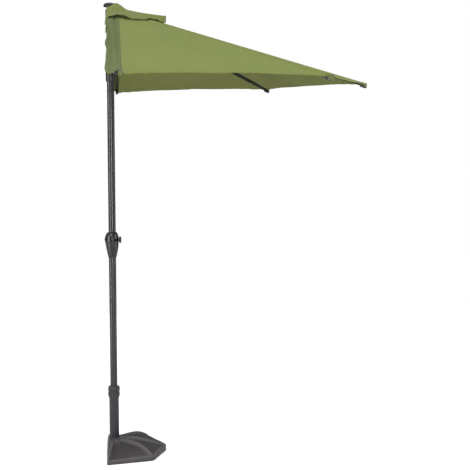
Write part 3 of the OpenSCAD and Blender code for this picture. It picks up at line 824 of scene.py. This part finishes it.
def ripple(k, r, u):
    """Small rise of the cloth: puckers by the seams, pull lines at the tips and a soft drift."""
    share = r / CANOPY_R
    arch = 4 * u * (1 - u)
    side = np.minimum(u, 1 - u) * r * math.sin(RIB_STEP)
    seam = np.exp(-side / 0.020) * smooth(side / 0.004)
    puckers = 0.0010 * seam * np.sin(r * 175 + 1.7 * k + 2.0 * np.sin(r * 31 + k))
    tip = smooth((share - 0.80) / 0.2) * np.exp(-side / 0.11) * smooth(side / 0.012)
    pull = 0.0022 * tip * np.sin(side * 95 + (1 - share) * 26 + 0.9 * k)
    drift = 0.0016 * arch * np.sin(3.1 * r + 2.3 * u + k) * np.sin(7.0 * u + 1.3 * k + 2.1 * r)
    hem = 0.0007 * arch * smooth((share - 0.9) / 0.1) * np.sin(21 * u + 1.1 * k)
    by_wall = (k == 1) * (u < 0.5) + (k == RIB_COUNT - 1) * (u >= 0.5)
    fall = np.where(by_wall, END_DROOP, TIP_DROOP) * np.exp(-side / np.where(by_wall, 0.26, 0.07))
    droop = fall * smooth((share - 0.62) / 0.38) * smooth(side / 0.016)
    return puckers + pull + drift + hem - droop


def on_gore(k, r, u):
    arch = 4 * u * (1 - u)
    share = r / CANOPY_R
    s = r * (1 - HEM_CURVE * arch * share * share)
    p = over_rib(k, s) * (1 - u)[..., None] + over_rib(k + 1, s) * u[..., None]
    p[..., 2] += ripple(k, r, u) - CLOTH_SAG * arch * share
    return p


def on_flap(k, r, w):
    """The strip beside rib k that hangs back to the wall, with w from 0 at the rib to 1."""
    share = r / CANOPY_R
    p = over_rib(k, r)
    wave = 0.0030 * np.sin(r * 12.5 + k) + 0.0020 * np.sin(r * 27.0 + 2.0 * k)
    ruck = 0.0035 * np.sin(w * 11 + 2.4 * r + k) * smooth(w / 0.3)
    ruck = ruck * smooth(share / 0.2) * (1 - 0.6 * share**6)
    width = FLAP_WIDTH - 0.002 + 0.004 * np.exp(-(((share - 0.87) / 0.09) ** 2))
    width = width - 0.009 * smooth((share - 0.95) / 0.05)
    p[..., 0] -= width * w - wave * w * w * smooth(share / 0.3) * (1 - share**8)
    crease = 0.006 * np.exp(-(((w - 1 + share * 0.9) / 0.11) ** 2)) * smooth(share / 0.2) * (1 - share**6)
    p[..., 2] -= FLAP_DROP * w * share**3 + 0.002 * w + 0.008 * w * w * share - crease - ruck
    return p


def rows_along():
    """Distances from the fan's centre, closer together at the hem."""
    body = np.linspace(CLOTH_START, CANOPY_R - 0.030, 84)
    return np.concatenate([body, CANOPY_R - np.array([0.024, 0.019, 0.0155, 0.010, 0.004, 0.0])])


def hem_fold(r):
    """Extra depth of the turned-up hem."""
    return 0.0011 * smooth((r - CANOPY_R + 0.0200) / 0.0030)


def make_wing(name, k, towards):
    """Half a gore beside rib k, from the band's edge to the middle of the gore or the flap's edge."""
    r = rows_along()
    flap = (k == 1 and towards < 0) or (k == RIB_COUNT and towards > 0)
    columns = np.linspace(0, 1, 25 if flap else 40) ** (1.0 if flap else 1.35)
    rr, ww = np.meshgrid(r, columns, indexing="ij")
    if flap:
        start = BAND_HALF / FLAP_WIDTH
        w = start + (1 - start) * ww
        p = on_flap(k, rr, w)
        across = FLAP_WIDTH * w
        hem = np.minimum(CANOPY_R - rr, FLAP_WIDTH * (1 - w))
    else:
        # the band's edge is parallel to the rib, at BAND_HALF from it
        edge_u = BAND_HALF / ((rr + SLANT * BAND_HALF) * math.sin(RIB_STEP))
        u = edge_u + (0.5 - edge_u) * ww
        stretch = rr + SLANT * BAND_HALF * (1 - ww) * (1 - rr / CANOPY_R)
        p = on_gore(k, stretch, u) if towards > 0 else on_gore(k - 1, stretch, 1 - u)
        across = u * rr * math.sin(RIB_STEP)
        hem = CANOPY_R - rr
    uv = np.stack([across * towards, rr], 2)
    fold = hem_fold(rr)
    sheet = closed_sheet(name, p, uv, hem, CLOTH_T, fold)
    # a flap's top takes the painted-shade copy of the cloth, and every underside the painted-shade underside
    # copy
    install(sheet, f"rib_{k}", [f"canopy_panel_{k}"], "canopy_cloth", FLAP_CLOTH_SHADED if flap else CLOTH, UNDERSIDE_SHADED)
    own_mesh(sheet)


def make_band(k):
    """The doubled band of cloth sewn along the top of rib k."""
    body = np.linspace(CLOTH_START - 0.002, CANOPY_R - 0.004, 150)
    r = np.concatenate([body, [CANOPY_R, CANOPY_R + 0.001]])
    across = np.array([-0.0098, -0.0092, -0.0075, -0.0045, 0.0, 0.0045, 0.0075, 0.0092, 0.0098])
    lift = np.array([-0.0004, 0.0004, 0.0007, 0.0007, 0.0009, 0.0007, 0.0007, 0.0004, -0.0004])
    rr, dd = np.meshgrid(r, across, indexing="ij")
    away = np.abs(dd)
    u = away / ((rr + SLANT * away) * math.sin(RIB_STEP))
    stretch = rr + SLANT * away * (1 - np.clip(rr / CANOPY_R, 0, 1))
    p = np.zeros(rr.shape + (3,))
    for towards in (-1, 1):
        chosen = dd * towards >= 0
        if (k == 1 and towards < 0) or (k == RIB_COUNT and towards > 0):
            side = on_flap(k, rr, away / FLAP_WIDTH)
        elif towards > 0:
            side = on_gore(k, stretch, u)
        else:
            side = on_gore(k - 1, stretch, 1 - u)
        p = np.where(chosen[..., None], side, p)
    p[..., 2] += lift[None, :] + 0.0003 * np.sin(rr * 210 + k) * smooth(away / 0.006)
    uv = np.stack([dd, rr], 2)
    hem = np.minimum(0.0092 - away + 0.0158, CANOPY_R + 0.02 - rr)
    sheet = closed_sheet(f"rib_band_{k}", p, uv, hem, 0.0012)
    # the bands over the wall ribs take the flap's painted-shade copy, and the underside the painted-shade
    # copy
    outer = FLAP_CLOTH_SHADED if k in (1, RIB_COUNT) else CLOTH
    install(sheet, f"rib_{k}", [f"canopy_panel_{k}"], "canopy_cloth", outer, UNDERSIDE_SHADED)


POCKET_SIDES = {1: (1,), 2: (-1, 1), 3: (-1, 1), 4: (1,), 5: (-1,)}
POCKET_END = CANOPY_R + 0.0068
POCKET_HALF = 0.0096
POCKET_BACK = 0.026


def make_pocket(k):
    """The cloth pocket sewn round the end of rib k, closed over its nose and the named sides."""
    a = rib_angle(k)
    out = np.array([math.cos(a), math.sin(a), 0.0])
    side = beside_rib(k)
    path = []
    for towards in sorted(POCKET_SIDES[k]):
        turn = np.linspace(0, math.pi / 2, 9) if towards > 0 else np.linspace(math.pi / 2, 0, 9)
        corner = [(POCKET_END - 0.006 * (1 - math.cos(t)), 0.0036 + 0.006 * math.sin(t)) for t in turn]
        corner = [(r, d * towards) for r, d in corner]
        depths = [POCKET_BACK * share for share in (0.2, 0.45, 0.7, 1.0)]
        back = [(POCKET_END - 0.006 - depth, POCKET_HALF * towards) for depth in depths]
        path += corner + back if towards > 0 else back[::-1] + corner
    if len(POCKET_SIDES[k]) == 1:
        nose = (POCKET_END, -0.0060 * POCKET_SIDES[k][0])
        path = [nose] + path if POCKET_SIDES[k][0] > 0 else path + [nose]
    steps = np.linspace(0, 1, 9)
    grid = np.zeros((len(steps), len(path), 3))
    for j, (r, d) in enumerate(path):
        top = over_rib(k, r)
        reach = (r - (POCKET_END - 0.006 - POCKET_BACK)) / (0.006 + POCKET_BACK)
        fall = 0.010 + 0.014 * smooth(reach)
        for i, share in enumerate(steps):
            lean = 0.0008 * math.sin(math.pi * share)
            grid[i, j] = top + side * (d + lean * np.sign(d)) + out * lean * 0.5
            grid[i, j, 2] = top[2] + 0.0006 - (fall + 0.0006) * share
    lengths = np.concatenate([[0], np.cumsum(np.hypot(*np.diff(np.array(path), axis=0).T))])
    uv = np.zeros(grid.shape[:2] + (2,))
    uv[..., 0] = lengths[None, :]
    uv[..., 1] = 0.020 * steps[:, None]
    hem = 0.018 + 0.0135 - 0.020 * np.repeat(steps[:, None], len(path), axis=1)
    sheet = closed_sheet(f"rib_pocket_{k}", grid, uv, hem, 0.0008)
    tidy_normals(sheet)
    install(sheet, f"rib_{k}", [], "canopy_cloth", POCKET_CLOTH, UNDERSIDE_SHADED)


# ---------- vent ----------

VENT_GORES = 15
VENT_FLAP = 0.064
FLAP_SHARE = 0.15
VENT_HEM = [
    (0, 41), (4, 38), (9, 12), (18, 5), (30, 8), (42, 11),
    (54, 9), (66, 6), (72, 8), (78, 14), (84, 20), (90, 21),
]
FOLD_TILT = math.radians(27)


def canopy_top(x, y):
    """Height of the stretched canopy over a point, without its ripples."""
    dx = x - FAN_X
    r = np.hypot(dx, y)
    a = np.clip(np.arctan2(y, dx), -math.pi / 2, math.pi / 2)
    gore = np.clip(np.floor((a + math.pi / 2) / RIB_STEP), 0, RIB_COUNT - 2)
    off = a + math.pi / 2 - (gore + 0.5) * RIB_STEP
    along = r * np.cos(off) / math.cos(RIB_STEP / 2)
    return HUB_Z + CLOTH_TOP - (np.maximum(along, PIVOT_R) - PIVOT_R) * math.tan(RIB_SLOPE)


def on_vent(t, v):
    """A point of the vent, with t from 0 at the cap to 1 at the hem and v from -1 to 1 round it."""
    turn = v * math.radians(120)
    inner = np.stack([(CAP_R + 0.002) * np.cos(turn), (CAP_R + 0.002) * np.sin(turn)], -1)
    back = np.clip((np.abs(v) - (1 - FLAP_SHARE)) / FLAP_SHARE, 0, 1)
    a = np.clip(v / (1 - FLAP_SHARE), -1, 1) * math.pi / 2
    degrees = np.abs(np.degrees(a))
    frill = 0.0035 * np.sin(np.degrees(a) * 0.55) + 0.002 * np.sin(np.degrees(a) * 1.3 + 1)
    out = VENT_R + frill * smooth(degrees / 12)
    outer = np.stack([FAN_X - VENT_FLAP * back + out * np.cos(a), out * np.sin(a)], -1)
    p = inner + (outer - inner) * t[..., None]
    hem = soft_curve(VENT_HEM, degrees) / 1000 * (1 - 0.55 * back)
    hem = hem - 0.040 * smooth((back - 0.72) / 0.28)
    near_cap = smooth(t / 0.25)
    crest = 0.026 + 0.014 * np.exp(-(((v + 0.22) / 0.34) ** 2))
    rise = crest * (1 - near_cap) + 0.010 * (1 - t) * near_cap + hem * t**1.5
    waves = 0.0022 * np.sin(np.degrees(a) * 0.42 + 4 * t) * t * (1 - back)
    folds = 0.0016 * np.sin(v * 46 + 5 * t) * np.exp(-(((t - 0.22) / 0.20) ** 2))
    folds = folds + 0.0030 * np.exp(-(((np.abs(v) - 0.62 - 0.22 * t) / 0.030) ** 2)) * smooth(t / 0.2)
    z = canopy_top(p[..., 0], p[..., 1]) + rise + waves + folds
    return np.concatenate([p, z[..., None]], -1)


def vent_fold(v):
    """Direction and anchor for laying this part of the vent down on the closed canopy; they are computed, but
    no flattening is applied.
    """
    ends = on_vent(np.array([0.0, 1.0]), np.array([v, v]))
    out = ends[1] - ends[0]
    out[2] = 0
    out /= np.linalg.norm(out)
    axis = out * math.cos(FOLD_TILT) + np.array([0, 0, math.sin(FOLD_TILT)])
    return axis, ends[0]


def make_vent():
    middle = 1 - FLAP_SHARE
    bounds = [-1.0] + list(np.linspace(-middle, middle, VENT_GORES + 1)) + [1.0]
    for i, (low, high) in enumerate(zip(bounds, bounds[1:])):
        t = np.concatenate([np.linspace(0, 0.94, 40), [0.955, 0.975, 0.99, 1.0]])
        tt, vv = np.meshgrid(t, np.linspace(low, high, 13), indexing="ij")
        p = on_vent(tt, vv)
        length = np.linalg.norm(p[-1, 6] - p[0, 6])
        uv = np.stack([vv * VENT_R * 1.8, tt * length], 2)
        hem = (1 - tt) * length
        fold = 0.0009 * smooth((0.02 - hem) / 0.003)
        sheet = closed_sheet(f"vent_gore_{i + 1:02d}", p, uv, hem, CLOTH_T, fold)
        install(sheet, "mast", ["vent_canopy"], "canopy_cloth", VENT_CLOTH, UNDERSIDE_SHADED)
        axis, anchor = vent_fold((low + high) / 2)
        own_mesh(sheet)
    clip = refined("vent_clip", 0.0012, 2)
    install(clip, "mast", ["vent_clip"], "black_plastic", BLACK)
    axis, anchor = vent_fold(0.0)
    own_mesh(clip)


# ---------- what keeps its CAD shape ----------

KEPT = {
    "base_plate": BLACK, "ballast": FILL, "plate_screws": ZINC, "base_feet": SOFT, "tube_anchor": BLACK,
    "anchor_screws": ZINC, "pole_foot": BLACK, "housing_screws": ZINC, "cord_spool": NYLON,
    "crank_shaft": ZINC, "shaft_bushes": NYLON, "brake_spring": ZINC, "knob_pin": ZINC, "hub_pins": ZINC,
    "hub_screws": ZINC, "pulley": NYLON, "pulley_pin": ZINC, "runner_pins": ZINC,
}


def paint_kept():
    for node, material in KEPT.items():
        paint(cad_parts[node], material)
    for k in range(1, RIB_COUNT + 1):
        paint(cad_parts[f"rib_rivet_{k}"], ZINC)


# ---------- studio ----------

FLOOR = 4.0
SKY_LOW, SKY_HIGH = 0.12, 0.62
FOCAL_PX = 1011.0
IMAGE_PX = 470
CAMERA_AT = (0.0094, -5.391, 1.784)
YAW, TILT, ROLL = math.radians(6.867), math.radians(4.708), math.radians(-0.073)


def make_camera():
    data = bpy.data.cameras.new("view")
    data.sensor_width = 36
    data.lens = FOCAL_PX / IMAGE_PX * 36
    data.shift_y = -30 / IMAGE_PX
    data.clip_end = 200
    camera = bpy.data.objects.new("view", data)
    bpy.context.scene.collection.objects.link(camera)
    ahead = Vector((math.sin(YAW) * math.cos(TILT), math.cos(YAW) * math.cos(TILT), -math.sin(TILT)))
    right = Vector((math.cos(YAW), -math.sin(YAW), 0))
    up = right.cross(ahead)
    turned_right = right * math.cos(ROLL) + up * math.sin(ROLL)
    turned_up = up * math.cos(ROLL) - right * math.sin(ROLL)
    camera.matrix_world = Matrix(
        [(turned_right[i], turned_up[i], -ahead[i], CAMERA_AT[i]) for i in range(3)] + [(0, 0, 0, 1)]
    )
    bpy.context.scene.camera = camera


def area_light(name, at, towards, size, power):
    data = bpy.data.lights.new(name, "AREA")
    data.shape = "RECTANGLE"
    data.size, data.size_y = size
    data.energy = power
    light = bpy.data.objects.new(name, data)
    light.location = at
    light.rotation_euler = (Vector(towards) - Vector(at)).to_track_quat("-Z", "Y").to_euler()
    light.visible_camera = False
    bpy.context.scene.collection.objects.link(light)


def sun_light(name, coming_from, level, spread, shadow=True):
    """Distant light; level is what it adds to a white floor's brightness."""
    data = bpy.data.lights.new(name, "SUN")
    direction = Vector(coming_from).normalized()
    data.energy = level * math.pi / direction.z
    data.angle = math.radians(spread)
    data.use_shadow = shadow
    light = bpy.data.objects.new(name, data)
    light.rotation_euler = direction.to_track_quat("Z", "Y").to_euler()
    bpy.context.scene.collection.objects.link(light)


def make_world():
    """White to the camera; for everything else bright overhead and dim round the horizon."""
    world = bpy.data.worlds.new("studio")
    bpy.context.scene.world = world
    world.use_nodes = True
    tree = world.node_tree
    tree.nodes.clear()
    kinds = ["OutputWorld", "MixShader", "LightPath", "TexCoord", "SeparateXYZ", "MapRange"]
    made = [tree.nodes.new("ShaderNode" + kind) for kind in kinds + ["Background"] * 2]
    out, mix, path, place, parts, rise, room, backdrop = made
    rise.interpolation_type = "SMOOTHSTEP"
    for key, value in (("From Min", -0.02), ("From Max", 0.60), ("To Min", SKY_LOW), ("To Max", SKY_HIGH)):
        rise.inputs[key].default_value = value
    for shade in (room, backdrop):
        shade.inputs["Color"].default_value = (1, 1, 1, 1)
    for source, target in (
        (place.outputs["Generated"], parts.inputs[0]),
        (parts.outputs[2], rise.inputs["Value"]),
        (rise.outputs["Result"], room.inputs["Strength"]),
        (path.outputs["Is Camera Ray"], mix.inputs[0]),
        (room.outputs[0], mix.inputs[1]),
        (backdrop.outputs[0], mix.inputs[2]),
        (mix.outputs[0], out.inputs["Surface"]),
    ):
        tree.links.new(source, target)


def make_studio():
    sun_light("key", (-0.30, -0.8, 1.1), 0.26, 30)
    sun_light("fill", (0.6, -0.5, 1.0), 0.20, 40, shadow=False)
    sun_light("top", (0.1, 0.1, 1.0), 0.24, 50, shadow=False)
    area_light("left_strip", (-2.6, -1.45, 1.5), (0.0, 0.0, 1.3), (0.5, 3.0), 78)
    area_light("front_strip", (0.75, -5.9, 1.6), (0.0, 0.0, 1.3), (0.8, 3.2), 190)
    area_light("right_strip", (2.9, -0.7, 1.5), (0.0, 0.0, 1.3), (0.45, 3.0), 32)
    floor_mesh = bpy.data.meshes.new("floor")
    corners = [(FLOOR * x, FLOOR * y, 0) for x, y in ((-1, -1), (1, -1), (1, 1), (-1, 1))]
    floor_mesh.from_pydata(corners, [], [(0, 1, 2, 3)])
    floor = bpy.data.objects.new("floor", floor_mesh)
    bpy.context.scene.collection.objects.link(floor)
    s = Shader("floor", Roughness=0.9)
    seen = s.node("ShaderNodeLightPath").outputs["Is Camera Ray"]
    tone = s.mix(s.noise(s.place(), 3.0, 2.0), (0.93, 0.93, 0.93, 1), (0.95, 0.95, 0.95, 1))
    s.colour(s.mix(seen, (0.58, 0.58, 0.58, 1), tone))
    floor_mesh.materials.append(s.material)
    settings = bpy.context.scene.view_settings
    settings.view_transform = "Standard"
    settings.look = "None"


make_camera()
make_world()
make_studio()
make_base_shell()
make_stand()
make_collar()
install(refined("fill_plug", 0.0008, 3), "base", ["fill_plug"], "black_plastic", BLACK)
make_poles()
make_crank()
make_top()
make_ribs()
for rib in range(1, RIB_COUNT + 1):
    make_band(rib)
    make_wing(f"canopy_{rib}_near", rib, -1)
    make_wing(f"canopy_{rib}_far", rib, 1)
    make_pocket(rib)
make_vent()
paint_kept()
